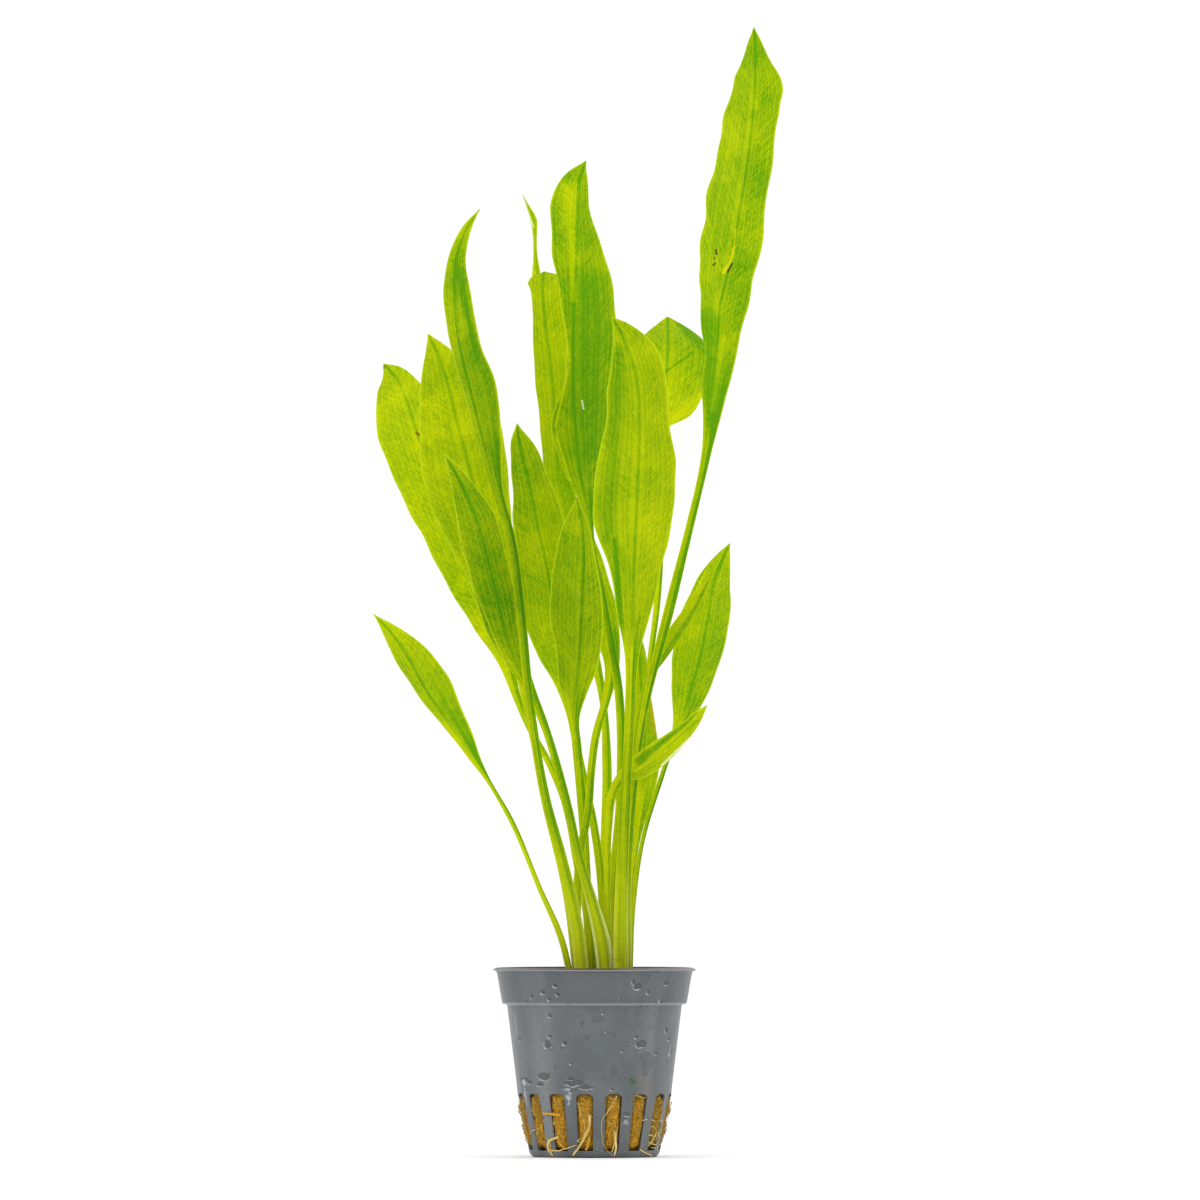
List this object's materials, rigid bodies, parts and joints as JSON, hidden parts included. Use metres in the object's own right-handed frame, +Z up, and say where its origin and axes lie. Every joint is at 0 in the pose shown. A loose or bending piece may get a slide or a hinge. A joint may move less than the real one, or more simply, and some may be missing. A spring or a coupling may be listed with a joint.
{
  "type": "potted aquarium plant",
  "caption": "Amazon sword aquarium plant: a rosette of long stalked lance-shaped leaves rooted in rockwool inside a slotted grey net pot.",
  "frame": {"origin": "middle of the pot's flat base", "axes": "+Z up along the pot's axis, the plant's front faces -Y, +X to the viewer's right"},
  "size_m": [0.11, 0.0804, 0.3072],
  "materials": {
    "pot": "satin",
    "rockwool": "matte",
    "crown": "satin",
    "leaf": "satin",
    "root": "satin"
  },
  "bodies": {
    "root": {"net_pot": "pot", "rockwool_plug": "rockwool", "crown": "crown", "leaf_broad_front": "leaf", "leaf_spoon": "leaf", "leaf_sickle": "leaf", "leaf_left_dark": "leaf", "leaf_low_left": "leaf", "leaf_small_arching": "leaf", "leaf_centre_left": "leaf", "leaf_left_pointed": "leaf", "leaf_far_left": "leaf", "leaf_tall_right": "leaf", "leaf_tall_middle": "leaf", "leaf_low_right": "leaf", "leaf_narrow_right": "leaf", "leaf_back_middle": "leaf", "leaf_bent_back": "leaf", "leaf_short_yellowing": "leaf", "leaf_twisted_tip": "leaf", "root_orange_left": "root", "root_left_over_ring": "root", "root_front_left": "root", "root_front_right": "root"}
  },
  "joints": []
}
